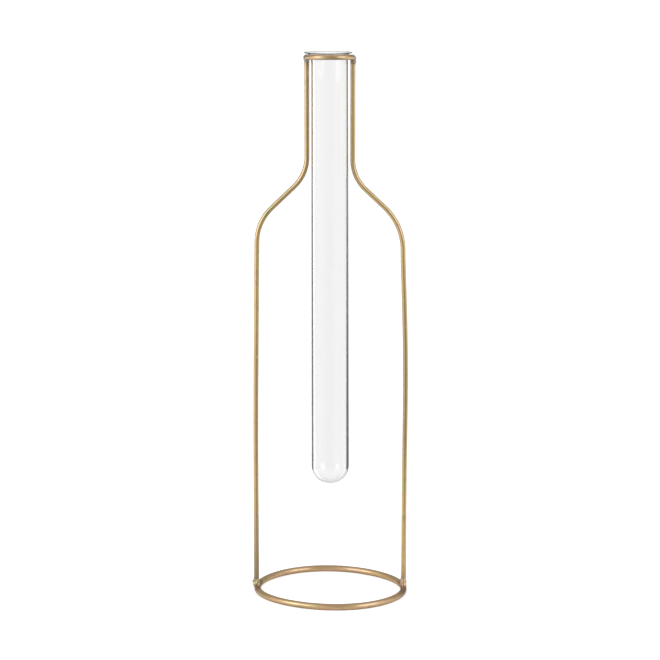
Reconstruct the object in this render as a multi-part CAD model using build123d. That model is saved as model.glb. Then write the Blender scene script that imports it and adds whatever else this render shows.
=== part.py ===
from build123d import *
import math
import os

os.makedirs("parts", exist_ok=True)

# A bud vase: a glass test tube hung by its flared lip in a free-standing wire stand with a bottle's outline.
# The origin is on the table under the middle of the hoop, +Z up, the two side wires on the X axis.
# Lengths are in millimetres and angles in degrees.

# Glass tube
tube_diameter = 21.5
tube_wall = 1.1
tube_table_gap = 65.6
lip_brim = 0.28

# Wire stand, with ring radii and the neck ring's height to the middle of the wire
base_ring_radius = 43.6
base_ring_wire = 3.8
neck_ring_height = 317.0
neck_ring_wire = 3.2
side_wire_diameter = 3.0

# Clearances between the tube and the ring that it hangs in
tube_ring_gap = 0.95
lip_seat_gap = 0.3

# Bends that the two side wires share
neck_bend_radius = 23.8
shoulder_drop = 27.7

# Bends that differ a little, because each wire is bent by hand
left_neck_length = 67.8
left_shoulder_radius = 27.8
left_shoulder_inset = 1.3
left_bow_angle = 0.9
right_neck_length = 69.5
right_shoulder_radius = 35.6
right_shoulder_inset = 1.1
right_bow_angle = 1.5

# Braze beads: how thick they lie on the wire, how long they are and how far they lap over the ring
base_bead_build = 0.75
base_bead_length = 5.5
base_bead_lap = 1.1
neck_bead_build = 0.5
neck_bead_length = 3.6
neck_bead_lap = 1.7

# The neck ring is sized to let the tube through, and the tube's lip is sized to hang on the ring.
tube_radius = tube_diameter / 2
neck_ring_radius = tube_radius + tube_ring_gap + neck_ring_wire / 2
base_ring_height = base_ring_wire / 2
lip_underside = neck_ring_height + neck_ring_wire / 2 + lip_seat_gap


def hoop(radius, wire, height):
    """A closed round hoop of round wire, its butt joint ground flush."""
    return Pos(0, 0, height) * Torus(radius, wire / 2)


def setback(radius, before, after):
    """How far from its corner an arc of this radius meets the two straight directions."""
    return radius * math.tan(math.radians(before.get_angle(after)) / 2)


def side_wire_path(direction, neck_length, shoulder_radius, shoulder_inset, bow_angle):
    """The centre line of a side wire, from the neck ring down to the base ring.

    A straight neck, a bend outwards, a straight slope, the shoulder's bend back and a long bowed leg.
    Direction is 1 for the right wire and -1 for the left one.
    """
    bow = math.radians(bow_angle)
    neck_top = Vector(direction * neck_ring_radius, 0, neck_ring_height)
    neck_corner = neck_top - Vector(0, 0, neck_length)
    shoulder_half_width = base_ring_radius - shoulder_inset
    shoulder_corner = Vector(direction * shoulder_half_width, 0, neck_corner.Z - shoulder_drop)
    foot = Vector(direction * base_ring_radius, 0, base_ring_height)

    down = -Axis.Z.direction
    outwards = (shoulder_corner - neck_corner).normalized()
    bowed = Vector(direction * math.sin(bow), 0, -math.cos(bow))
    neck_setback = setback(neck_bend_radius, down, outwards)
    shoulder_setback = setback(shoulder_radius, outwards, bowed)

    neck = Line(neck_top, neck_corner - down * neck_setback)
    neck_bend = TangentArc(neck @ 1, neck_corner + outwards * neck_setback, tangent=down)
    slope = Line(neck_bend @ 1, shoulder_corner - outwards * shoulder_setback)
    shoulder = TangentArc(slope @ 1, shoulder_corner + bowed * shoulder_setback, tangent=outwards)
    leg = TangentArc(shoulder @ 1, foot, tangent=bowed)
    return Wire([edge for piece in (neck, neck_bend, slope, shoulder, leg) for edge in piece.edges()])


def side_wire(path):
    """A round wire along the path, its two ends coped to fit the rings."""
    section = Plane(origin=path @ 0, z_dir=path % 0) * Circle(side_wire_diameter / 2)
    return sweep(section, path=path) - base_ring - neck_ring


def braze_bead(build, length, place):
    """An egg-shaped bead of filler metal, turned about the wire that it holds."""
    radius = side_wire_diameter / 2 + build
    half_outline = split(Ellipse(radius, length / 2), bisect_by=Plane.YZ)
    return place * revolve(Plane.XZ * half_outline, axis=Axis.Z)


def test_tube():
    """A tube with a round bottom, turned out at the top into a brim that lies over the neck ring."""
    bore_radius = tube_radius - tube_wall
    flare_radius = neck_ring_radius - tube_radius
    flare_start = lip_underside - flare_radius
    lip_top = lip_underside + tube_wall
    bottom_centre = tube_table_gap + tube_radius
    brim_end = neck_ring_radius + lip_brim

    outline = [
        CenterArc((0, bottom_centre), tube_radius, 270, 90),
        Line((tube_radius, bottom_centre), (tube_radius, flare_start)),
        CenterArc((neck_ring_radius, flare_start), flare_radius, 90, 90),
        Line((neck_ring_radius, lip_underside), (brim_end, lip_underside)),
        CenterArc((brim_end, lip_underside + tube_wall / 2), tube_wall / 2, -90, 180),
        Line((brim_end, lip_top), (neck_ring_radius, lip_top)),
        CenterArc((neck_ring_radius, flare_start), flare_radius + tube_wall, 90, 90),
        Line((bore_radius, flare_start), (bore_radius, bottom_centre)),
        CenterArc((0, bottom_centre), bore_radius, 270, 90),
        Line((0, bottom_centre - bore_radius), (0, tube_table_gap)),
    ]
    wall = make_face([edge for piece in outline for edge in piece.edges()])
    return revolve(Plane.XZ * wall, axis=Axis.Z)


base_ring = hoop(base_ring_radius, base_ring_wire, base_ring_height)
neck_ring = hoop(neck_ring_radius, neck_ring_wire, neck_ring_height)
wires = {
    "left": side_wire(side_wire_path(
        -1, left_neck_length, left_shoulder_radius, left_shoulder_inset, left_bow_angle
    )),
    "right": side_wire(side_wire_path(
        1, right_neck_length, right_shoulder_radius, right_shoulder_inset, right_bow_angle
    )),
}
parts = {"base_ring": base_ring, "neck_ring": neck_ring, "glass_tube": test_tube()}

base_bead_height = base_ring_wire - base_bead_lap + base_bead_length / 2
neck_bead_height = neck_ring_height - neck_ring_wire / 2 + neck_bead_lap - neck_bead_length / 2
for side, direction in (("left", -1), ("right", 1)):
    at_base = Pos(direction * base_ring_radius, 0, base_bead_height)
    at_neck = Pos(direction * neck_ring_radius, 0, neck_bead_height)
    base_bead = braze_bead(base_bead_build, base_bead_length, at_base)
    neck_bead = braze_bead(neck_bead_build, neck_bead_length, at_neck)
    parts[side + "_side_wire"] = wires[side]
    parts[side + "_base_braze"] = base_bead - base_ring - wires[side]
    parts[side + "_neck_braze"] = neck_bead - neck_ring - wires[side]

for name, shape in parts.items():
    export_step(shape, "parts/" + name + ".step")
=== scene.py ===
import math

import bpy
import numpy as np
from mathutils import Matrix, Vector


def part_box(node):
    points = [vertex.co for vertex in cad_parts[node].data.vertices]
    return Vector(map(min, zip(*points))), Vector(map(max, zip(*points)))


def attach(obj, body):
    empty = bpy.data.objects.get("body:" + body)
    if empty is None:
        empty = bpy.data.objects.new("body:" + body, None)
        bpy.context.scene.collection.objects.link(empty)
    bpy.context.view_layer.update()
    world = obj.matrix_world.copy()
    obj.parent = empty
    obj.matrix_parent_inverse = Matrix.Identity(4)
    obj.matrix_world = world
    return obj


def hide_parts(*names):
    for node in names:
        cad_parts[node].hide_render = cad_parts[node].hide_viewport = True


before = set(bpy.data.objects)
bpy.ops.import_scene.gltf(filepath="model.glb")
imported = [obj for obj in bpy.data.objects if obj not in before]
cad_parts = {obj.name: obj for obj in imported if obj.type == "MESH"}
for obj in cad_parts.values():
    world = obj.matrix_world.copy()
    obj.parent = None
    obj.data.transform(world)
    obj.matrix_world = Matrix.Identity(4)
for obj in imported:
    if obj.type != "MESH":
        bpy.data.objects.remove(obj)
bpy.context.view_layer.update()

# A bud vase: a glass test tube hung by its lip in a brass wire stand with a bottle's outline.
# Metres throughout, with the hoop on the floor and the two side wires on the X axis.
mm = 0.001


# Surfaces are grids of points, rows along the piece and columns round it, worked out as whole arrays

def gridFaces(rows, columns, ringShaped=False):
    # Four-cornered faces between neighbouring points. The columns close on themselves, and so do the rows
    # of a ring-shaped piece.
    index = np.arange(rows * columns).reshape(rows, columns)
    index = np.concatenate([index, index[:, :1]], axis=1)
    if ringShaped:
        index = np.concatenate([index, index[:1]])
    corners = [index[:-1, :-1], index[:-1, 1:], index[1:, 1:], index[1:, :-1]]
    return np.stack(corners, axis=-1).reshape(-1, 4)


def fanFaces(ring, pole):
    # Triangles from each pair of neighbours on a ring of points to the one point that closes it
    return np.stack([ring, np.roll(ring, -1), np.full(len(ring), pole)], axis=-1)


def signedVolume(points, triangles):
    # A sixth of the sum of a . (b x c) over the triangles, which is positive where the faces point outwards
    a, b, c = (points[triangles[:, i]] for i in range(3))
    return np.einsum("ij,ij->", a, np.cross(b, c)) / 6


def closedSurface(grid, poles=None, **layers):
    # The points and faces of a closed surface, turned to face outwards. Poles are the two points that close
    # its first and last rows. A layer is one value or vector for each point, poles last.
    rows, columns = grid.shape[:2]
    quads = gridFaces(rows, columns, ringShaped=poles is None)
    points = grid.reshape(-1, 3)
    fans = np.empty((0, 3), int)
    if poles is not None:
        first, last = np.arange(columns), np.arange((rows - 1) * columns, rows * columns)
        fans = np.concatenate([fanFaces(first[::-1], len(points)), fanFaces(last, len(points) + 1)])
        points = np.concatenate([points, poles])
    triangles = np.concatenate([quads[:, :3], quads[:, [0, 2, 3]], fans])
    if signedVolume(points, triangles) < 0:
        quads, fans = quads[:, ::-1], fans[:, ::-1]
    return {"points": points, "faces": quads.tolist() + fans.tolist(), "layers": layers}


def addPiece(name, surface, material, body, node):
    # The surface as a smooth mesh at the origin, standing for its CAD node and moving with that node's body
    mesh = bpy.data.meshes.new(name)
    mesh.from_pydata(surface["points"].tolist(), [], surface["faces"])
    mesh.polygons.foreach_set("use_smooth", np.ones(len(mesh.polygons), bool))
    for layerName, values in surface["layers"].items():
        isVector = values.ndim == 2
        layer = mesh.attributes.new(layerName, "FLOAT_VECTOR" if isVector else "FLOAT", "POINT")
        layer.data.foreach_set("vector" if isVector else "value", values.ravel())
    mesh.materials.append(material)
    mesh.update()
    piece = bpy.data.objects.new(name, mesh)
    bpy.context.scene.collection.objects.link(piece)
    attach(piece, body)
    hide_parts(node)


def unevenness(place, height, lengths, seed):
    # A gentle waviness: a sum of sines of the given wavelengths, each with its own starting point
    starts = np.random.default_rng(seed).uniform(0, 2 * math.pi, len(lengths))
    waves = [np.sin(2 * math.pi * place / length + start) for length, start in zip(lengths, starts)]
    return height * sum(waves) / len(lengths)


# Shader maths is written as Python expressions on node outputs

class Signal:
    # One output of a node. Sums and products add their Math nodes, and node() adds any other kind.
    def __init__(self, tree, socket=None):
        self.tree = tree
        self.socket = socket

    def node(self, kind, settings=None, inputs=None, output=0):
        made = self.tree.nodes.new("ShaderNode" + kind)
        for name, value in (settings or {}).items():
            setattr(made, name, value)
        for name, value in (inputs or {}).items():
            if isinstance(value, Signal):
                self.tree.links.new(value.socket, made.inputs[name])
            else:
                made.inputs[name].default_value = value
        return Signal(self.tree, made.outputs[output] if made.outputs else None)

    def maths(self, operation, *values):
        return self.node("Math", {"operation": operation}, dict(enumerate(values)))

    def __getitem__(self, name):
        return Signal(self.tree, self.socket.node.outputs[name])

    def __add__(self, other):
        return self.maths("ADD", self, other)

    def __sub__(self, other):
        return self.maths("SUBTRACT", self, other)

    def __rsub__(self, other):
        return self.maths("SUBTRACT", other, self)

    def __mul__(self, other):
        return self.maths("MULTIPLY", self, other)

    def __truediv__(self, other):
        return self.maths("DIVIDE", self, other)

    __radd__ = __add__
    __rmul__ = __mul__


def smoothStep(value, low, high):
    # 0 below low, 1 above high and an S-shaped rise between
    settings = {"interpolation_type": "SMOOTHSTEP"}
    return value.node("MapRange", settings, {"Value": value, "From Min": low, "From Max": high})


def blend(share, first, second):
    # The first number where share is 0 and the second where it is 1: first + share * (second - first)
    return first + share * (second - first)


def blendColour(share, first, second):
    # The first colour where share is 0 and the second where it is 1
    return share.node("Mix", {"data_type": "RGBA"}, {0: share, 6: rgba(first), 7: rgba(second)}, 2)


def rgba(colour):
    return colour if isinstance(colour, Signal) else (*colour, 1)


def cloudiness(place, size, detail=2, spread=0.5):
    # Smooth random values about 0.5, whose patches are about as large as size
    sockets = {"Vector": place, "Scale": 1 / size, "Detail": detail, "Roughness": spread}
    return place.node("TexNoise", {}, sockets)


def stretched(place, x, y, z):
    # The place with each of its directions multiplied, so that a pattern on it is drawn out
    return place.node("VectorMath", {"operation": "MULTIPLY"}, {0: place, 1: (x, y, z)})


def bumpy(height, strength, depth):
    # A normal tilted by the slope of height, where a height of 1 stands for this real depth
    return height.node("Bump", {}, {"Strength": strength, "Distance": depth, "Height": height})


def newMaterial(name):
    material = bpy.data.materials.new(name)
    material.use_nodes = True
    material.node_tree.nodes.clear()
    return material, Signal(material.node_tree)


# Sizes that are read from the frame

def ringFromFrame(node):
    # The radius to the middle of the wire, the wire's radius and its height above the floor
    low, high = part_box(node)
    wireRadius = (high.z - low.z) / 2
    return {
        "radius": (high.x - low.x) / 2 - wireRadius,
        "wireRadius": wireRadius,
        "height": low.z + wireRadius,
    }


base = ringFromFrame("base_ring")
neck = ringFromFrame("neck_ring")
tubeLow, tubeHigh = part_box("glass_tube")

# The camera stands where the photograph was taken from. Many bounces let light through all the glass walls.

view = {
    "place": (0.09 * mm, -1504 * mm, 414.7 * mm),
    "degreesDown": 9.70,
    "lens": 141.918,
    "sensor": 36.0,
    "nearest": 0.01,
    "bounces": 32,
    "glossyBounces": 24,
}

cameraData = bpy.data.cameras.new("photoCamera")
cameraData.lens = view["lens"]
cameraData.sensor_width = view["sensor"]
cameraData.clip_start = view["nearest"]
camera = bpy.data.objects.new("photoCamera", cameraData)
camera.location = view["place"]
camera.rotation_euler = (math.radians(90 - view["degreesDown"]), 0, 0)
bpy.context.scene.collection.objects.link(camera)
bpy.context.scene.camera = camera
bpy.context.scene.view_settings.view_transform = "Standard"
bpy.context.scene.cycles.max_bounces = view["bounces"]
bpy.context.scene.cycles.glossy_bounces = view["glossyBounces"]
bpy.context.scene.cycles.transmission_bounces = view["bounces"]
print("camera placed")

# The room: white to the camera. To metal and glass it is bright at the sides, and darker behind the vase and
# on the viewer's side. Two soft lamps stand in front. A range is where a change starts and where it ends. The
# edge levels are what the tube's edges see, of the floor and of the walls above it.

room = {
    "sideLevel": 0.95,
    "frontLevel": 0.34,
    "frontRange": (0.35, 0.97),
    "frontTurn": 22,
    "backLevel": 0.4,
    "backRange": (0.15, -0.5),
    "overhead": 0.45,
    "overheadHeight": (0.4, 0.8),
    "overheadAside": (0.55, 0.2),
    "aboveFloor": 0.8,
    "backdropColour": (1.0, 1.0, 1.0),
    "insideGlass": 0.8,
    "floorHalfWidth": 9.0,
    "floorColour": (0.8, 0.8, 0.8),
    "floorLift": 0.6,
    "nearFloor": (0.09, 0.2),
    "sideRange": (-0.02, 0.02),
    "bandStart": (8, 26),
    "bandEnd": (44, 34),
    "leftBand": 1.6,
    "rightBand": 0.25,
    "edgeFar": 0.37,
    "edgeNear": 0.03,
    "edgeRange": (3.5, 0.3),
    "edgeUnder": 0.8,
    "underReach": (0.27, 0.19),
    "edgeAbove": (1.0, 0.2),
    "asideFrom": (0.15, 0.45),
    "edgeRightShare": 0.5,
}

lamps = {
    "leftLamp": {"azimuth": -59, "distance": 2.5, "height": 0.94, "width": 1.6, "tall": 1.74, "level": 1.45},
    "rightLamp": {"azimuth": 54, "distance": 2.5, "height": 0.94, "width": 1.6, "tall": 1.74, "level": 1.5},
}


def sideLight(x, y, backShare=1):
    # How bright the room is in a direction, whose parts along X and Y are given: darker towards the viewer
    # and to their right, and darker away from them
    turn = math.radians(room["frontTurn"])
    towards = x * math.sin(turn) - y * math.cos(turn)
    front = smoothStep(towards, *room["frontRange"]) * (room["frontLevel"] - room["sideLevel"])
    back = smoothStep(y * -1, *room["backRange"]) * (room["backLevel"] - room["sideLevel"])
    return room["sideLevel"] + front + back * backShare


def mirrored(path):
    # 1 for a ray that a surface has just thrown back. One that goes on through glass counts as glossy too.
    return path["Is Glossy Ray"] * (1 - path["Is Transmission Ray"])


def thrownBack(path):
    # 1 for a ray that a surface has thrown back at least once
    return path.maths("GREATER_THAN", path["Glossy Depth"], 0.5)


def throughOneWall(path):
    # 1 for a ray that has passed two surfaces of glass at most: one wall of the tube, as at the tube's edges
    return path.maths("LESS_THAN", path["Transmission Depth"], 2.5)


def onRight(x):
    # 0 to the left of the vase's middle and 1 to the right
    return smoothStep(x, *room["sideRange"])


def behindGlass(x, y):
    # How bright the room is through the glass: plain white in the directions of the X and Y axes and midway
    # between them, and brighter in the bands to either side of each axis, which the bent rays reach
    degreesOff = y.maths("PINGPONG", y.maths("ARCTAN2", x, y) * (180 / math.pi), 45)
    bands = smoothStep(degreesOff, *room["bandStart"]) * smoothStep(degreesOff, *room["bandEnd"])
    return 1 + bands * blend(onRight(x), room["leftBand"], room["rightBand"])


def seenLevel(path, x, y, light, edge):
    # What mirroring and glass see of the room. Metal sees its light, and a ray straight through the glass
    # sees it as behindGlass says. A ray that is thrown back within the tube sees part of the room's light,
    # and at the tube's edges, where it is thrown back in one wall, it sees the edge level, as if dark cards
    # stood at the sides.
    through = behindGlass(x, y)
    inside = blend(throughOneWall(path), light * room["insideGlass"], edge)
    through = blend(thrownBack(path), through, inside)
    return mirrored(path) * light + path["Is Transmission Ray"] * through


def makeFloor():
    material, start = newMaterial("whiteFloor")
    path = start.node("LightPath")
    place = start.node("TexCoord", output="Object")
    split = place.node("SeparateXYZ", {}, {"Vector": place})
    x, y = split["X"], split["Y"]
    distance = place.node("VectorMath", {"operation": "LENGTH"}, {0: place}, "Value")

    edge = blend(smoothStep(distance, *room["edgeRange"]), room["edgeFar"], room["edgeNear"])
    edge = edge * (1 - onRight(x) * (1 - room["edgeRightShare"]))
    edge = blend(smoothStep(distance, *room["underReach"]), edge, room["edgeUnder"])
    seen = seenLevel(path, x, y, sideLight(x / distance, y / distance, 0), edge)

    # Close to the vase, brass mirrors the real floor with its shading
    farOff = smoothStep(distance, *room["nearFloor"])
    share = path["Is Transmission Ray"] + mirrored(path) * farOff
    matt = start.node("BsdfDiffuse", {}, {"Color": rgba(room["floorColour"])})
    lift = start.node("Emission", {}, {"Strength": path["Is Camera Ray"] * room["floorLift"]})
    lit = start.node("AddShader", {}, {0: matt, 1: lift})
    shown = start.node("Emission", {}, {"Strength": seen})
    surface = start.node("MixShader", {}, {0: share, 1: lit, 2: shown})
    start.node("OutputMaterial", {}, {"Surface": surface})

    half = room["floorHalfWidth"]
    mesh = bpy.data.meshes.new("floor")
    corners = [(-half, -half, 0), (half, -half, 0), (half, half, 0), (-half, half, 0)]
    mesh.from_pydata(corners, [], [(0, 1, 2, 3)])
    mesh.materials.append(material)
    floor = bpy.data.objects.new("floor", mesh)
    bpy.context.scene.collection.objects.link(floor)


def makeWorld():
    world = bpy.data.worlds.new("room")
    bpy.context.scene.world = world
    world.use_nodes = True
    world.node_tree.nodes.clear()
    start = Signal(world.node_tree)
    path = start.node("LightPath")
    direction = start.node("TexCoord", output="Generated")
    split = direction.node("SeparateXYZ", {}, {"Vector": direction})
    x, y, z = split["X"], split["Y"], split["Z"]
    # The room is darker overhead, between the two lamps, and the edge level changes towards the sides
    sideways = x.maths("ABSOLUTE", x)
    overhead = smoothStep(z, *room["overheadHeight"]) * smoothStep(sideways, *room["overheadAside"])
    light = blend(overhead, sideLight(x, y), room["overhead"])
    edge = blend(smoothStep(sideways, *room["asideFrom"]), *room["edgeAbove"])
    share = room["aboveFloor"]
    seen = seenLevel(path, x, y, light * share, edge * share)
    lighting = path["Is Diffuse Ray"] * sideLight(x, y, 0) * share
    strength = path["Is Camera Ray"] + seen + lighting
    background = start.node("Background", {}, {"Color": rgba(room["backdropColour"]), "Strength": strength})
    start.node("OutputWorld", {}, {"Surface": background})


def makeLamp(name, lamp):
    # A flat soft lamp that faces the middle of the vase. Its level is its brightness, where 1 is white.
    angle, distance = math.radians(lamp["azimuth"]), lamp["distance"]
    data = bpy.data.lights.new(name, "AREA")
    data.shape = "RECTANGLE"
    data.size = lamp["width"]
    data.size_y = lamp["tall"]
    data.energy = lamp["level"] * math.pi * lamp["width"] * lamp["tall"]
    drop = math.atan2(lamp["height"] - tubeHigh.z / 2, distance)
    made = bpy.data.objects.new(name, data)
    made.location = (math.sin(angle) * distance, -math.cos(angle) * distance, lamp["height"])
    made.rotation_euler = (math.pi / 2 - drop, 0, angle)
    bpy.context.scene.collection.objects.link(made)


makeFloor()
makeWorld()
for lampName, lamp in lamps.items():
    makeLamp(lampName, lamp)
print("room lit")

# Brass: drawn wire with fine lengthwise lines, uneven patina, and heat colours near the brazed joints

# A range is where in its noise a mark starts to show and where it is complete. A share is the most that it
# covers. Lines, grain and heat each add to the roughness, and lines and grain to the height of the bumps.
brass = {
    "colour": (0.81, 0.50, 0.08),
    "pinkish": (0.87, 0.49, 0.17),
    "greenish": (0.68, 0.54, 0.09),
    # The tarnish colour is also the colour of the painted shade on the hoops' undersides and in the pit
    "tarnish": (0.33, 0.20, 0.06),
    "heatColour": (0.28, 0.10, 0.035),
    "patchSize": 14 * mm,
    "pinkishRange": (0.54, 0.68),
    "greenishRange": (0.46, 0.34),
    "tarnishSize": 5 * mm,
    "tarnishRange": (0.52, 0.74),
    "tarnishShare": 0.55,
    "lineWidth": 0.16 * mm,
    "lineLength": 9 * mm,
    "lineRange": (0.52, 0.75),
    "lineShare": 0.35,
    "grain": 0.35 * mm,
    "heatSize": 3 * mm,
    "heatRange": (0.1, 0.5),
    "heatCore": 0.3,
    "roughness": 0.44,
    "lineRoughness": 0.25,
    "grainRoughness": 0.2,
    "heatRoughness": 0.08,
    "bump": 0.5,
    "bumpDepth": 0.012 * mm,
    "lineHeight": 0.7,
    "grainHeight": 0.5,
    "coatRoughness": 0.18,
    "coatIor": 3.0,
    "coatLostToHeat": 0.5,
    "coatLostToShade": 0.4,
}

# The torch left its colours on the hoops. Each spot has its middle on a hoop's wire, forward of the joint on
# one side by so much, and its reach is how far from there it has faded out.
heatSpots = (
    {"ring": base, "side": -1, "forward": 4.5 * mm, "reach": 9 * mm, "strength": 0.9},
    {"ring": base, "side": -1, "forward": -5 * mm, "reach": 9 * mm, "strength": 0.9},
    {"ring": base, "side": 1, "forward": 9 * mm, "reach": 16 * mm, "strength": 0.9},
    {"ring": base, "side": 1, "forward": -5 * mm, "reach": 7 * mm, "strength": 0.6},
    {"ring": neck, "side": -1, "forward": 0 * mm, "reach": 7 * mm, "strength": 0.45},
    {"ring": neck, "side": 1, "forward": 1 * mm, "reach": 5 * mm, "strength": 0.6},
)


def heatColours(place):
    # Each spot at its full strength in its core, falling to 0 at its reach, and the strongest one wins
    strongest = 0
    for spot in heatSpots:
        ring, reach = spot["ring"], spot["reach"]
        angle = math.asin(spot["forward"] / ring["radius"])
        middle = (spot["side"] * ring["radius"] * math.cos(angle), -spot["forward"], ring["height"])
        distance = place.node("VectorMath", {"operation": "DISTANCE"}, {0: place, 1: middle}, "Value")
        heat = smoothStep(distance, reach, brass["heatCore"] * reach) * spot["strength"]
        strongest = heat.maths("MAXIMUM", heat, strongest)
    return strongest


def patinaColour(place, blush):
    # Three brass tones in soft patches, pinker by the blush, with small tarnished spots over them
    patches = cloudiness(place, brass["patchSize"], detail=3)
    colour = blendColour(smoothStep(patches, *brass["pinkishRange"]), brass["colour"], brass["pinkish"])
    colour = blendColour(smoothStep(patches, *brass["greenishRange"]), colour, brass["greenish"])
    colour = blendColour(blush, colour, brass["pinkish"])
    spots = cloudiness(place, brass["tarnishSize"], detail=5, spread=0.65)
    spots = smoothStep(spots, *brass["tarnishRange"]) * brass["tarnishShare"]
    return blendColour(spots, colour, brass["tarnish"])


def makeBrass():
    material, start = newMaterial("agedBrassWire")
    place = start.node("TexCoord", output="Object")
    wirePlace = start.node("Attribute", {"attribute_name": "wirePlace"}, output="Vector")
    shade = start.node("Attribute", {"attribute_name": "shade"}, output="Fac")
    blush = start.node("Attribute", {"attribute_name": "blush"}, output="Fac")
    drawnOut = stretched(wirePlace, 1, 1, brass["lineWidth"] / brass["lineLength"])
    lines = cloudiness(drawnOut, brass["lineWidth"], detail=3, spread=0.6)
    grain = cloudiness(place, brass["grain"], detail=4, spread=0.6)

    colour = patinaColour(place, blush)
    darkLines = smoothStep(lines, *brass["lineRange"]) * brass["lineShare"]
    colour = blendColour(darkLines, colour, brass["tarnish"])
    # Tarnish on the side wires darkens the colour, and so does painted shade on the hoops' undersides and in
    # the pit. Both also thin the coat.
    colour = blendColour(shade, colour, brass["tarnish"])
    heat = heatColours(place)
    heat = heat * smoothStep(cloudiness(place, brass["heatSize"], detail=3), *brass["heatRange"])
    colour = blendColour(heat, colour, brass["heatColour"])

    roughness = brass["roughness"] + (lines - 0.5) * brass["lineRoughness"]
    roughness = roughness + (grain - 0.5) * brass["grainRoughness"] + heat * brass["heatRoughness"]
    height = lines * brass["lineHeight"] + grain * brass["grainHeight"]
    surface = start.node("BsdfPrincipled", {}, {
        "Base Color": colour,
        "Metallic": 1.0,
        "Roughness": roughness,
        "Coat Weight": 1 - heat * brass["coatLostToHeat"] - shade * brass["coatLostToShade"],
        "Coat Roughness": brass["coatRoughness"],
        "Coat IOR": brass["coatIor"],
        "Normal": bumpy(height, brass["bump"], brass["bumpDepth"]),
    })
    start.node("OutputMaterial", {}, {"Surface": surface})
    return material


# What the braze on all four joints shares. Each bead's own finish, which on the neck beads includes painted
# shade, stands with its shape.
braze = {
    "grain": 0.5 * mm,
    "grainRoughness": 0.25,
    "patchSize": 2 * mm,
    "patchRange": (0.4, 0.6),
    "pitRange": (0.56, 0.7),
    "rimRange": (0.35, 0.0),
    "rimGrain": 0.7,
    "rimShare": 0.6,
    "bumpDepth": 0.08 * mm,
    "coat": 0.7,
    "coatRoughness": 0.18,
    "coatIor": 2.0,
}


def makeBraze(name, finish):
    # Filler metal in two tones, smoother than the wire, pitted, and darker where it thins out at its rim
    material, start = newMaterial(name)
    place = start.node("TexCoord", output="Object")
    thickness = start.node("Attribute", {"attribute_name": "thickness"}, output="Fac")
    grain = cloudiness(place, braze["grain"], detail=5, spread=0.65)
    patches = smoothStep(cloudiness(place, braze["patchSize"], detail=3), *braze["patchRange"])
    colour = blendColour(patches, finish["colour"], finish["patches"])
    pits = smoothStep(cloudiness(place, finish["pitSize"]), *braze["pitRange"]) * finish["pitting"]
    colour = blendColour(pits, colour, brass["heatColour"])
    rim = smoothStep(thickness + (grain - 0.5) * braze["rimGrain"], *braze["rimRange"])
    colour = blendColour(rim * braze["rimShare"], colour, brass["heatColour"])
    surface = start.node("BsdfPrincipled", {}, {
        "Base Color": colour,
        "Metallic": 1.0,
        "Roughness": finish["roughness"] + grain * braze["grainRoughness"],
        "Coat Weight": braze["coat"],
        "Coat Roughness": braze["coatRoughness"],
        "Coat IOR": braze["coatIor"],
        "Normal": bumpy(grain - pits, finish["bump"], braze["bumpDepth"]),
    })
    start.node("OutputMaterial", {}, {"Surface": surface})
    return material


brassMaterial = makeBrass()

# Side wires: a straight neck, a bend outwards, a slope, the shoulder and a long bowed leg

# Uneven is how much a wire's radius varies, in waves of these lengths. The waver of a leg fades out over the
# last stretch below its shoulder and above its foot.
wire = {
    "radius": 1.5 * mm,
    "neckBendRadius": 23.8 * mm,
    "shoulderDrop": 27.7 * mm,
    "step": 0.5 * mm,
    "columns": 40,
    "roundedEnd": 0.6 * mm,
    "uneven": 0.03 * mm,
    "unevenLengths": (31 * mm, 17 * mm, 8 * mm),
    "ovalTurn": 40 * mm,
    "waverFadeTop": 20 * mm,
    "waverFadeFoot": 12 * mm,
    "pitShade": 1.2,
}

# Tarnish gives how dull a wire is, from 0 to 1, at a few heights in millimetres. A pit is a small dent whose
# middle is also darkened by painted shade. It is placed by its height and by how far round it is from the
# wire's front.
sideWires = {
    "left": {
        "side": -1, "neckLength": 67.8 * mm, "shoulderRadius": 27.8 * mm, "shoulderInset": 1.3 * mm,
        "bowDegrees": 0.9, "waver": 0.05 * mm, "waverLength": 110 * mm, "waverStart": 20 * mm, "seed": 3,
        "tarnish": (
            (0, 0.95), (14, 0.85), (45, 0.5), (70, 0.3), (143, 0.28), (158, 0), (190, 0), (320, 0.25),
        ),
        "pit": {"height": 142.6 * mm, "degreesRound": 33, "depth": 0.3 * mm, "size": 0.42 * mm},
    },
    "right": {
        "side": 1, "neckLength": 69.5 * mm, "shoulderRadius": 35.6 * mm, "shoulderInset": 1.1 * mm,
        "bowDegrees": 1.5, "waver": 0.3 * mm, "waverLength": 150 * mm, "waverStart": 27.5 * mm, "seed": 4,
        "tarnish": (
            (0, 0.3), (18, 0), (45, 0), (72, 0.2), (95, 0.5), (145, 0.45), (205, 0.05), (320, 0.2),
        ),
        "pit": None,
    },
}

# The angles of the points round a wire
roundWireAngles = np.linspace(0, 2 * math.pi, wire["columns"], endpoint=False)


def straightRun(start, end, count=40):
    return start + np.linspace(0, 1, count)[:, None] * (end - start)


def roundBend(start, direction, end, count=90):
    # The arc that leaves start in this direction and arrives at end. It turns by twice the angle between
    # that direction and the straight line from start to end.
    chord = end - start
    ahead = chord @ direction
    across = chord - ahead * direction
    width = np.linalg.norm(across)
    turn = 2 * math.atan2(width, ahead)
    radius = np.linalg.norm(chord) / (2 * math.sin(turn / 2))
    angle = np.linspace(0, turn, count)[:, None]
    return start + radius * (np.sin(angle) * direction + (1 - np.cos(angle)) * across / width)


def unit(vector):
    return vector / np.linalg.norm(vector)


def setback(radius, before, after):
    # How far from its corner an arc of this radius meets the two straight directions
    return radius * math.tan(math.acos(before @ after) / 2)


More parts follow.
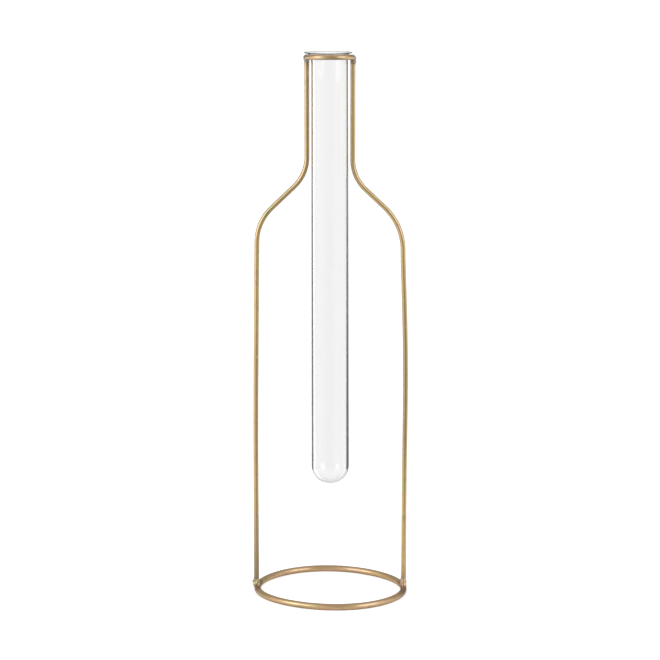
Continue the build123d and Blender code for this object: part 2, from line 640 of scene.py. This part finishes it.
def sideWireRoute(bends):
    # The wire's centre line, as the frame has it, in runs and arcs that meet smoothly
    side = bends["side"]
    bow = math.radians(bends["bowDegrees"])
    neckTop = np.array([side * neck["radius"], 0, neck["height"]])
    neckCorner = neckTop - [0, 0, bends["neckLength"]]
    shoulderHalf = base["radius"] - bends["shoulderInset"]
    shoulderCorner = np.array([side * shoulderHalf, 0, neckCorner[2] - wire["shoulderDrop"]])
    foot = np.array([side * base["radius"], 0, base["height"]])

    down = np.array([0, 0, -1.0])
    outwards = unit(shoulderCorner - neckCorner)
    bowed = np.array([side * math.sin(bow), 0, -math.cos(bow)])
    neckSetback = setback(wire["neckBendRadius"], down, outwards)
    shoulderSetback = setback(bends["shoulderRadius"], outwards, bowed)
    bendStart, bendEnd = neckCorner - down * neckSetback, neckCorner + outwards * neckSetback
    turnStart, turnEnd = shoulderCorner - outwards * shoulderSetback, shoulderCorner + bowed * shoulderSetback
    return np.concatenate([
        straightRun(neckTop, bendStart),
        roundBend(bendStart, down, bendEnd),
        straightRun(bendEnd, turnStart),
        roundBend(turnStart, outwards, turnEnd),
        roundBend(turnEnd, bowed, foot),
    ])


def evenlySpaced(route, step):
    # The same route through points an equal distance apart, and how far along it each of them is
    gaps = np.linalg.norm(np.diff(route, axis=0), axis=1)
    travelled = np.concatenate([[0], np.cumsum(gaps)])
    along = np.linspace(0, travelled[-1], round(travelled[-1] / step) + 1)
    return np.stack([np.interp(along, travelled, route[:, i]) for i in range(3)], axis=1), along


def roundWire(route, ahead, across, radius):
    # A circle about each point of the route, square to it: centre + radius * (cos * across + sin * other)
    angle = roundWireAngles[None, :, None]
    other = np.cross(ahead, across)
    turned = np.cos(angle) * across[:, None] + np.sin(angle) * other[:, None]
    return route[:, None] + radius[:, :, None] * turned


def placeOnWire(along, radius):
    # For the drawn lines: where a point lies round the wire, as two lengths, and how far along it
    shape = (len(along), wire["columns"])
    lengths = [np.cos(roundWireAngles) * radius, np.sin(roundWireAngles) * radius, along[:, None]]
    return np.stack([np.broadcast_to(length, shape) for length in lengths], axis=-1).reshape(-1, 3)


def unevenRadius(along, radius, seed):
    # The wire's radius with a slow waver along it and a faint ovalness that turns along it
    waver = unevenness(along, wire["uneven"], wire["unevenLengths"], seed)[:, None]
    oval = wire["uneven"] / 2 * np.cos(2 * roundWireAngles + along[:, None] / wire["ovalTurn"])
    return radius + waver + oval


def dent(route, pit):
    # 1 at the pit's middle, falling off over its size as a bell curve, for each point of the wire's surface
    aside = wire["radius"] * (roundWireAngles - math.pi + math.radians(pit["degreesRound"]))
    above = (route[:, 2] - pit["height"])[:, None]
    return np.exp(-(aside ** 2 + above ** 2) / pit["size"] ** 2)


def legWaver(bends, height):
    # How far the hand-bent leg strays along X at a height: a sine that fades out at the shoulder and the foot
    legTop = neck["height"] - bends["neckLength"] - wire["shoulderDrop"]
    belowTop = np.clip((legTop - height) / wire["waverFadeTop"], 0, 1)
    fade = belowTop * np.clip(height / wire["waverFadeFoot"], 0, 1)
    swing = np.sin(2 * math.pi * (height - bends["waverStart"]) / bends["waverLength"])
    return bends["side"] * bends["waver"] * fade * swing


def makeSideWire(name, bends):
    # A circle carried along the wire's route, with both ends rounded off
    route, along = evenlySpaced(sideWireRoute(bends), wire["step"])
    height = route[:, 2]
    route[:, 0] -= legWaver(bends, height)
    ahead = np.gradient(route, axis=0)
    ahead /= np.linalg.norm(ahead, axis=1, keepdims=True)
    across = np.broadcast_to([0.0, 1.0, 0.0], ahead.shape)
    fromEnd = np.minimum(along, along[-1] - along) / wire["roundedEnd"]
    rounding = np.sqrt(1 - (1 - np.clip(fromEnd, 0, 1)) ** 2)
    radius = unevenRadius(along, wire["radius"], bends["seed"]) * rounding[:, None]
    heights, dullness = np.array(bends["tarnish"]).T
    shade = np.interp(height, heights * mm, dullness)[:, None] + np.zeros(wire["columns"])
    if bends["pit"]:
        # The pit is a dent, and painted shade darkens its middle
        dented = dent(route, bends["pit"])
        radius = radius - bends["pit"]["depth"] * dented
        shade = np.clip(shade + wire["pitShade"] * dented, 0, 1)
    grid = roundWire(route, ahead, across, radius)[1:-1]
    places = placeOnWire(along[1:-1], wire["radius"])
    places = np.concatenate([places, [[0, 0, along[0]], [0, 0, along[-1]]]])
    shade = np.concatenate([shade[1:-1].ravel(), shade[[0, -1], 0]])
    surface = closedSurface(grid, route[[0, -1]], wirePlace=places, shade=shade, blush=0 * shade)
    addPiece(name + "Wire", surface, brassMaterial, "stand", name + "_side_wire")


for wireName, bends in sideWires.items():
    makeSideWire(wireName, bends)
print("side wires bent")

# The two hoops, each closed on the left, under the braze

# A hoop that is rolled by hand is a little oval and lobed: each wave has its number of lobes, its height and
# the degrees that it is turned by. Inset is how much smaller the hoop is than in the frame. Thinner is how
# much the wire's radius is less, while its top stays where it is. Tilt lifts the front, in degrees. The
# painted underside shade is how much the hoop's colour and coat are darkened below, as painted shade. Blush
# is how pink it is, from 0 to 1, at some angles about Z in degrees, with 0 at the right side and -90 at the
# front.
hoops = {
    "baseHoop": {
        "ring": base, "node": "base_ring", "step": 0.6 * mm, "inset": 0.33 * mm, "thinner": 0.0 * mm,
        "waves": ((1, 0.47 * mm, -15), (2, 1.17 * mm, 93), (3, 0.35 * mm, 107), (4, 0.3 * mm, -41)),
        "tilt": 0.0, "underside": 0.15, "seed": 11,
        "blush": (
            (-180, 0.2), (-140, 0.6), (-108, 0.15), (-92, 0.9), (-62, 0.6), (-43, 0), (0, 0.5),
            (43, 0.2), (65, 0.8), (92, 0.9), (108, 0.15), (125, 0.7), (150, 0), (180, 0.2),
        ),
    },
    "neckHoop": {
        "ring": neck, "node": "neck_ring", "step": 0.4 * mm, "inset": 0.0 * mm, "thinner": 0.11 * mm,
        "waves": ((2, 0.1 * mm, 90), (3, 0.05 * mm, 57)),
        "tilt": 3.0, "underside": 0.85, "seed": 12,
        "blush": ((-180, 0.3), (180, 0.3)),
    },
}

# The painted shade below starts where the surface faces down by this share, and is in full after a further
# share
underside = {"start": 0.1, "growth": 0.7}


def hoopRadius(hoop, turn):
    # The radius to the middle of the wire at an angle about Z: a circle's, with the waves round it
    waves = sum(height * np.cos(lobes * turn + math.radians(start)) for lobes, height, start in hoop["waves"])
    return hoop["ring"]["radius"] - hoop["inset"] + waves


def makeHoop(name, hoop):
    # A closed hoop: a circle carried round a slightly uneven circle, whose front is lifted by its tilt
    ring = hoop["ring"]
    count = round(2 * math.pi * ring["radius"] / hoop["step"])
    turn = math.pi + np.linspace(0, 2 * math.pi, count, endpoint=False)
    radius = hoopRadius(hoop, turn)
    slope = math.tan(math.radians(hoop["tilt"]))
    height = ring["height"] + hoop["thinner"] - np.sin(turn) * ring["radius"] * slope
    route = np.stack([radius * np.cos(turn), radius * np.sin(turn), height], axis=1)
    ahead = np.roll(route, -1, axis=0) - np.roll(route, 1, axis=0)
    ahead /= np.linalg.norm(ahead, axis=1, keepdims=True)
    across = np.broadcast_to([0.0, 0.0, 1.0], ahead.shape)
    across = across - ahead * np.sum(ahead * across, axis=1, keepdims=True)
    along = turn * ring["radius"]
    thick = unevenRadius(along, ring["wireRadius"] - hoop["thinner"], hoop["seed"])
    grid = roundWire(route, ahead, across, thick)
    # Painted shade: the hoop is darkened where its surface faces down
    below = np.clip((-np.cos(roundWireAngles) - underside["start"]) / underside["growth"], 0, 1)
    shade = hoop["underside"] * np.broadcast_to(below, (count, wire["columns"])).ravel()
    angles, pinkness = np.array(hoop["blush"]).T
    blush = np.interp(np.degrees(np.arctan2(np.sin(turn), np.cos(turn))), angles, pinkness)
    places = placeOnWire(along, ring["wireRadius"])
    surface = closedSurface(grid, wirePlace=places, shade=shade, blush=np.repeat(blush, wire["columns"]))
    addPiece(name, surface, brassMaterial, "stand", hoop["node"])


for hoopName, hoop in hoops.items():
    makeHoop(hoopName, hoop)
print("hoops closed")

# Braze beads: lumps of filler metal that run out over the hoop and along the side wire

# A bead's middle lies out from the hoop's wire, and along the side wire by its rise. WireGoes is 1 where that
# wire goes up from the hoop and -1 where it goes down. Reach is how far the bead runs across the hoop, along
# it and along the side wire, in millimetres. Build is its thickness at the middle, fillet is the round that
# fills the corner, and lump is how uneven it is.
beads = {
    "leftBaseBead": {
        "node": "left_base_braze", "hoop": hoops["baseHoop"], "side": -1, "wireGoes": 1,
        "out": 0.5 * mm, "rise": 3.2 * mm, "reach": (2.9, 2.9, 3.0), "build": 1.5 * mm,
        "fillet": 0.9 * mm, "lump": 0.26 * mm, "seed": 23,
        "finish": {
            "colour": (0.84, 0.74, 0.48), "patches": (0.52, 0.42, 0.14), "roughness": 0.1,
            "pitSize": 1.1 * mm, "pitting": 0.9, "bump": 0.8,
        },
    },
    # Its grey is partly the filler's own colour and partly painted shade under the neck ring
    "leftNeckBead": {
        "node": "left_neck_braze", "hoop": hoops["neckHoop"], "side": -1, "wireGoes": -1,
        "out": 0.2 * mm, "rise": 0.7 * mm, "reach": (2.6, 3.0, 2.8), "build": 0.55 * mm,
        "fillet": 0.8 * mm, "lump": 0.1 * mm, "seed": 24,
        "finish": {
            "colour": (0.42, 0.40, 0.31), "patches": (0.56, 0.50, 0.32), "roughness": 0.25,
            "pitSize": 1.4 * mm, "pitting": 0.5, "bump": 0.6,
        },
    },
    "rightBaseBead": {
        "node": "right_base_braze", "hoop": hoops["baseHoop"], "side": 1, "wireGoes": 1,
        "out": 0.6 * mm, "rise": 3.4 * mm, "reach": (2.7, 2.5, 3.2), "build": 0.95 * mm,
        "fillet": 1.1 * mm, "lump": 0.008 * mm, "seed": 24,
        "finish": {
            "colour": (0.93, 0.66, 0.42), "patches": (0.72, 0.48, 0.26), "roughness": 0.22,
            "pitSize": 1.6 * mm, "pitting": 0.12, "bump": 0.25,
        },
    },
    # Its dark brown is partly the filler's own colour and partly painted shade in the fold under the neck
    # ring
    "rightNeckBead": {
        "node": "right_neck_braze", "hoop": hoops["neckHoop"], "side": 1, "wireGoes": -1,
        "out": 0.6 * mm, "rise": 2.1 * mm, "reach": (2.4, 2.5, 2.5), "build": 0.5 * mm,
        "fillet": 0.8 * mm, "lump": 0.08 * mm, "seed": 25,
        "finish": {
            "colour": (0.50, 0.40, 0.22), "patches": (0.38, 0.28, 0.15), "roughness": 0.25,
            "pitSize": 1.4 * mm, "pitting": 0.6, "bump": 0.6,
        },
    },
}

beadShape = {
    "rows": 64,
    "columns": 96,
    "lumpSizes": (3.4 * mm, 2.6 * mm, 2.1 * mm, 1.6 * mm, 1.3 * mm),
    "furthest": 8 * mm,
    "halvings": 24,
}


def softUnion(first, second, width):
    # The smaller of two distances, with the corner between them filled to a round of this width
    share = np.clip(0.5 + 0.5 * (second - first) / width, 0, 1)
    return second * (1 - share) + first * share - width * share * (1 - share)


def makeBead(name, bead):
    # Rays from the joint's middle end where the distance to the filleted wire and hoop equals the build of
    # the filler, which is thickest at the joint and fades out, with lumps. Halving finds the place.
    hoop, side = bead["hoop"], bead["side"]
    ring = hoop["ring"]
    middleX = side * (ring["radius"] + bead["out"])
    middle = np.array([middleX, 0, ring["height"] + bead["wireGoes"] * bead["rise"]])
    rows, columns = beadShape["rows"], beadShape["columns"]
    polar = np.linspace(0, math.pi, rows + 2)[1:-1, None]
    turn = np.linspace(0, 2 * math.pi, columns, endpoint=False)[None]
    rays = np.stack([
        np.sin(polar) * np.cos(turn), np.sin(polar) * np.sin(turn), np.cos(polar) + 0 * turn
    ], axis=-1)
    rays = np.concatenate([rays.reshape(-1, 3), [[0, 0, 1], [0, 0, -1]]])
    reach = np.array(bead["reach"]) * mm
    sizes = np.array(beadShape["lumpSizes"])[:, None]
    starts = np.random.default_rng(bead["seed"]).uniform(0, 2 * math.pi, (len(sizes), 3))
    slope = math.tan(math.radians(hoop["tilt"]))

    def fillerBuild(points):
        spread = np.sum(((points - middle) / reach) ** 2, axis=-1)
        lumps = np.sin(2 * math.pi * points[:, None] / sizes + starts).prod(axis=-1).sum(axis=-1)
        return bead["build"] * (1 - spread) + bead["lump"] * lumps

    def depth(points):
        x, y, z = points.T
        toWire = np.hypot(x - side * ring["radius"], y) - wire["radius"]
        toWire = np.maximum(toWire, bead["wireGoes"] * (ring["height"] - z))
        outwards = np.hypot(x, y) - hoopRadius(hoop, np.arctan2(y, x))
        upwards = z - (ring["height"] - y * slope)
        toRing = np.hypot(outwards, upwards) - ring["wireRadius"]
        return softUnion(toWire, toRing, bead["fillet"]) - fillerBuild(points)

    near, far = np.zeros(len(rays)), np.full(len(rays), beadShape["furthest"])
    for _ in range(beadShape["halvings"]):
        half = (near + far) / 2
        inside = depth(middle + rays * half[:, None]) < 0
        near, far = np.where(inside, half, near), np.where(inside, far, half)
    points = middle + rays * near[:, None]
    grid = points[:-2].reshape(rows, columns, 3)
    thickness = fillerBuild(points) / bead["build"]
    surface = closedSurface(grid, points[-2:], thickness=thickness)
    addPiece(name, surface, makeBraze(name + "Metal", bead["finish"]), "stand", bead["node"])


for beadName, bead in beads.items():
    makeBead(beadName, bead)
print("joints brazed")

# The glass tube: one profile turned about the axis, with a round bottom, a flare and a fire-polished lip

# Shifts and leans are along X, the leans over the tube's whole length. Each wave of the lip has its number of
# lobes, its share of the lip's waver and the radians that it is turned by. Counts are of points.
tube = {
    "radius": 10.70 * mm,
    "wall": 0.95 * mm,
    "widening": 0.38 * mm,
    "thickening": 0.33 * mm,
    "boreShift": 0.02 * mm,
    "boreLean": -0.15 * mm,
    "axisAtTop": -0.12 * mm,
    "lean": 0.38 * mm,
    "flatBottom": 0.4 * mm,
    "flatness": 4,
    "flare": 2.3 * mm,
    "lipWall": 0.48 * mm,
    "lipRadius": 13.75 * mm,
    "lipSlope": 12,
    "lipShift": -0.86 * mm,
    "lipStart": 1 * mm,
    "lipWaver": 0.08 * mm,
    "lipWaves": ((2, 1, 0.6), (3, 0.6, 2)),
    "columns": 192,
    "bottomCount": 49,
    "wallCount": 60,
    "flareCount": 25,
    "lipCount": 8,
    "rimCount": 21,
}


def arcPoints(centre, radius, first, last, count):
    # Points on an arc, from the first angle to the last, in degrees
    angle = np.radians(np.linspace(first, last, count))
    return np.stack([centre[0] + radius * np.cos(angle), centre[1] + radius * np.sin(angle)], axis=1)


def makeTube(material):
    # The wall's outer line runs round the bottom, up the tube, round the flare and out along the lip. The
    # inner line is that line moved square to itself by the wall, and a half circle joins the two at the lip.
    # Down the tube it widens, its wall grows thicker and its bore moves to one side.
    outer = tube["radius"]
    bottomRadius = outer + tube["widening"]
    bottomCentre = tubeLow.z + bottomRadius
    slope = math.radians(tube["lipSlope"])
    halfLip = tube["lipWall"] / 2
    lipMiddle = np.array([tube["lipRadius"], tubeHigh.z - halfLip])
    lipLow = lipMiddle + halfLip * np.array([math.sin(slope), -math.cos(slope)])
    flareWidth = outer + tube["flare"] * (1 - math.sin(slope))
    flareEnd = np.array([flareWidth, lipLow[1] - (lipLow[0] - flareWidth) * math.tan(slope)])
    flareStart = flareEnd[1] - tube["flare"] * math.cos(slope)

    def howFarDown(height):
        return np.clip((flareStart - height) / (flareStart - bottomCentre), 0, 1)

    def howNearLip(height):
        # An S-shaped rise, 3 * share squared - 2 * share cubed, from just below the flare up to the lip
        below = tube["lipStart"]
        share = np.clip((height - flareStart + below) / (lipLow[1] - flareStart + below), 0, 1)
        return share * share * (3 - 2 * share)

    heights = np.linspace(bottomCentre, flareStart, tube["wallCount"] + 2)[1:-1]
    flareCentre, flareTop = (outer + tube["flare"], flareStart), 90 + tube["lipSlope"]
    line = np.concatenate([
        arcPoints((0, bottomCentre), bottomRadius, -90, 0, tube["bottomCount"]),
        np.stack([outer + tube["widening"] * howFarDown(heights), heights], axis=1),
        arcPoints(flareCentre, tube["flare"], 180, flareTop, tube["flareCount"]),
        straightRun(flareEnd, lipLow, tube["lipCount"])[1:],
    ])
    ahead = np.gradient(line, axis=0)
    ahead /= np.linalg.norm(ahead, axis=1, keepdims=True)
    inwards = np.stack([-ahead[:, 1], ahead[:, 0]], axis=1)
    wall = tube["wall"] + tube["thickening"] * howFarDown(line[:, 1:])
    wall = blend(howNearLip(line[:, 1:]), wall, tube["lipWall"])
    innerLine = line + wall * inwards
    rim = arcPoints(lipMiddle, halfLip, tube["lipSlope"] - 90, flareTop, tube["rimCount"])[1:-1]
    profile = np.concatenate([line[1:], rim, innerLine[:0:-1]])
    isInside = (np.arange(len(profile)) >= len(line) - 1 + len(rim))[:, None]

    # Turned about the axis, which leans, with the bottom a little flattened and the lip a little out of round
    turn = np.linspace(0, 2 * math.pi, tube["columns"], endpoint=False)[None]
    radius, height = profile[:, :1], profile[:, 1:]
    down, atLip = howFarDown(height), howNearLip(height)
    nearAxis = np.clip(1 - (radius / bottomRadius) ** 2, 0, 1) ** tube["flatness"]
    lift = tube["flatBottom"] * nearAxis * (height < bottomCentre)
    waves = sum(share * np.cos(lobes * turn + start) for lobes, share, start in tube["lipWaves"])
    radius = radius + tube["lipWaver"] * atLip * waves
    axis = tube["axisAtTop"] + tube["lean"] * down + tube["lipShift"] * atLip
    boreAxis = (tube["boreShift"] + tube["boreLean"] * down) * (1 - atLip)
    x = radius * np.cos(turn) + axis + boreAxis * isInside
    y = radius * np.sin(turn)
    grid = np.stack([x, y, height + lift + 0 * turn], axis=-1)
    bottomX = tube["axisAtTop"] + tube["lean"]
    bottomZ = tubeLow.z + tube["flatBottom"]
    boreX = bottomX + tube["boreShift"] + tube["boreLean"]
    poles = np.array([[bottomX, 0, bottomZ], [boreX, 0, bottomZ + wall[0, 0]]])
    addPiece("glassTube", closedSurface(grid, poles), material, "tube", "glass_tube")


glass = {
    "colour": (0.99, 0.99, 0.99),
    "ior": 1.5,
    "handling": (0.93, 0.935, 0.93),
    "filmSize": 9 * mm,
    "filmRange": (0.55, 0.8),
    "filmShare": 0.3,
    "filmRoughness": 0.03,
    "waveSize": 7 * mm,
    "waveStretch": 0.12,
    "bump": 0.12,
    "bumpDepth": 0.02 * mm,
}


def makeGlass():
    # Clear glass, with the faintest film where it has been handled and long shallow waves from drawing
    material, start = newMaterial("clearGlass")
    place = start.node("TexCoord", output="Object")
    film = smoothStep(cloudiness(place, glass["filmSize"], detail=4, spread=0.6), *glass["filmRange"])
    waves = cloudiness(stretched(place, 1, 1, glass["waveStretch"]), glass["waveSize"], detail=1)
    surface = start.node("BsdfPrincipled", {}, {
        "Base Color": blendColour(film * glass["filmShare"], glass["colour"], glass["handling"]),
        "Roughness": film * glass["filmRoughness"],
        "IOR": glass["ior"],
        "Transmission Weight": 1.0,
        "Normal": bumpy(waves, glass["bump"], glass["bumpDepth"]),
    })
    start.node("OutputMaterial", {}, {"Surface": surface})
    return material


makeTube(makeGlass())
print("tube blown")
